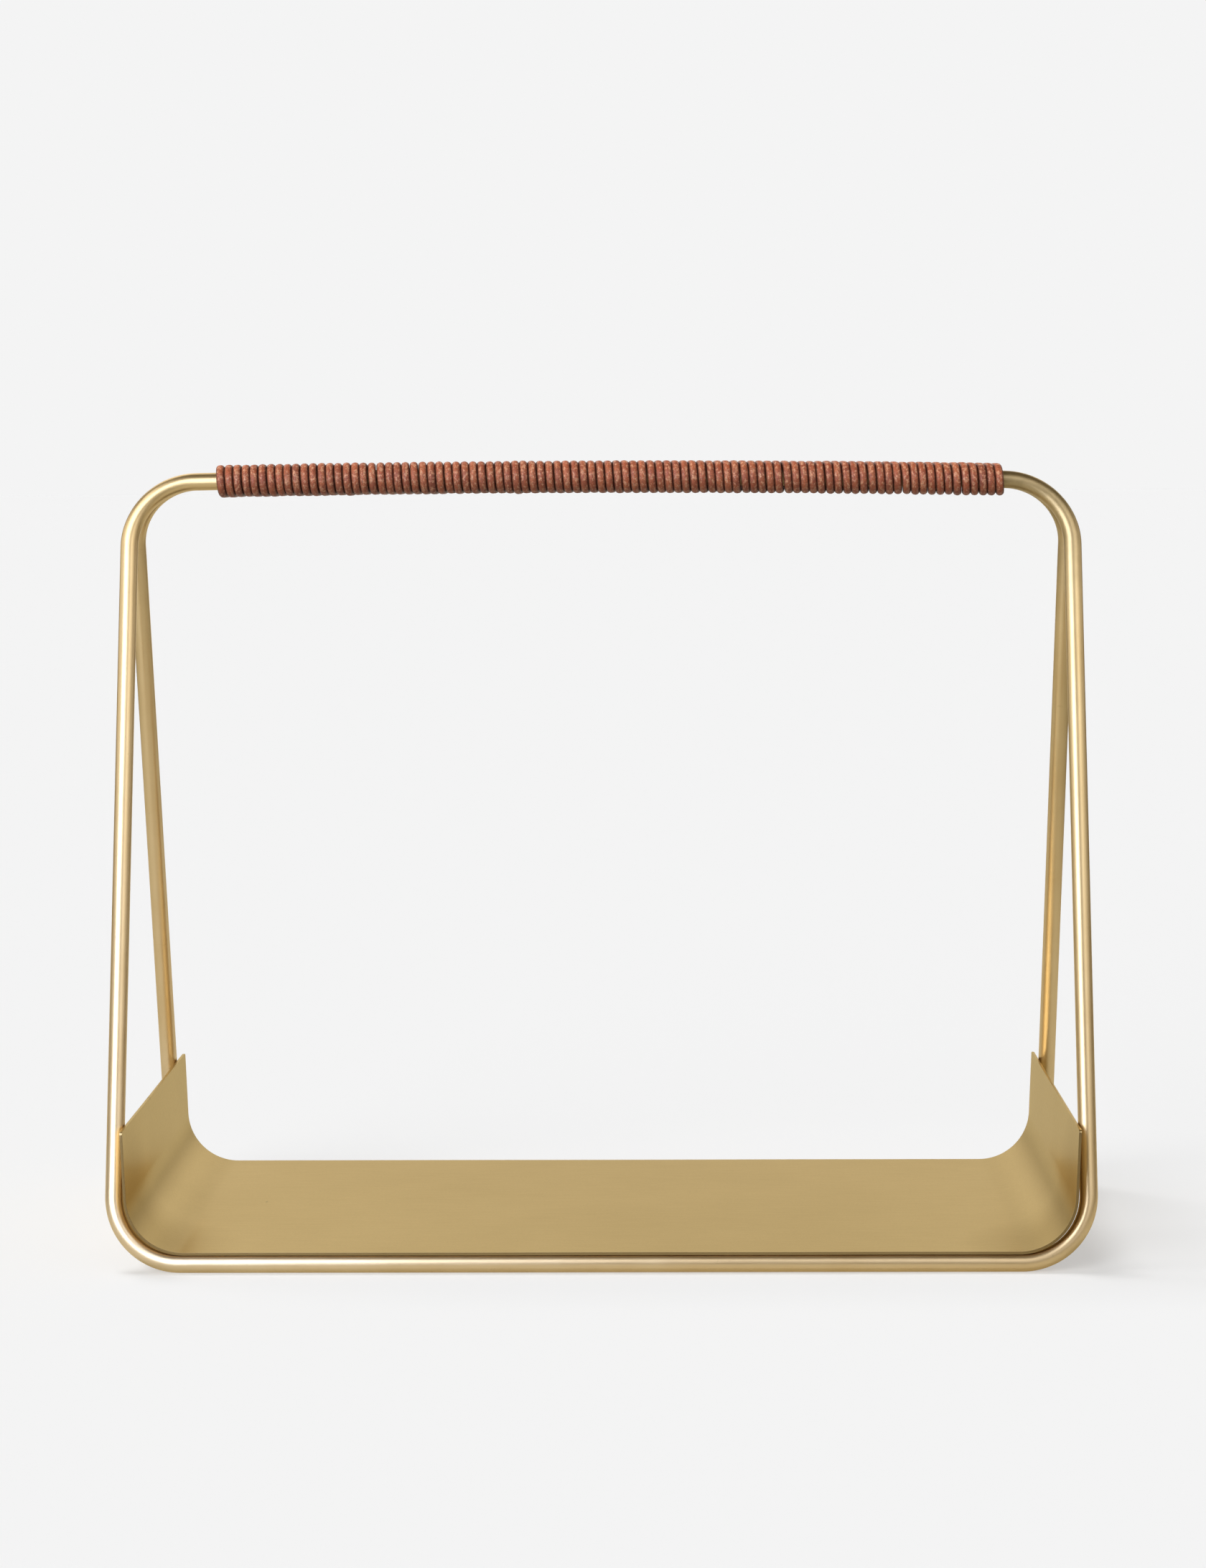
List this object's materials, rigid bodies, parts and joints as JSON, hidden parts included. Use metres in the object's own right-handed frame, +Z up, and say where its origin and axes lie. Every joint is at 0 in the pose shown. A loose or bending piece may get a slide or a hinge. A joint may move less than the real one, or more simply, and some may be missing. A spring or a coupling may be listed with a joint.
{
  "type": "magazine rack",
  "caption": "Open magazine rack: tube loops lean into an inverted V over a bent sheet tray, with a leather-wound carrying handle.",
  "frame": {"origin": "on the floor, midway between the two bottom bars and midway along them", "axes": "+X along the handle, +Z up, front of the rack towards -Y"},
  "size_m": [0.44, 0.204, 0.3544],
  "materials": {
    "brass_tube": "satin, lengthwise polish",
    "brass_sheet": "matt, finely brushed",
    "brass_pin": "drawn, unpolished",
    "braze_filler": "as brazed, dull",
    "leather_cord": "waxed, grained"
  },
  "bodies": {
    "root": {"front_loop": "brass_tube", "rear_loop": "brass_tube", "front_seam_pin": "brass_pin", "rear_seam_pin": "brass_pin", "top_bar_tacks": "braze_filler", "tray": "brass_sheet", "front_tray_solder": "braze_filler", "rear_tray_solder": "braze_filler", "leather_wrap": "leather_cord"}
  },
  "joints": []
}
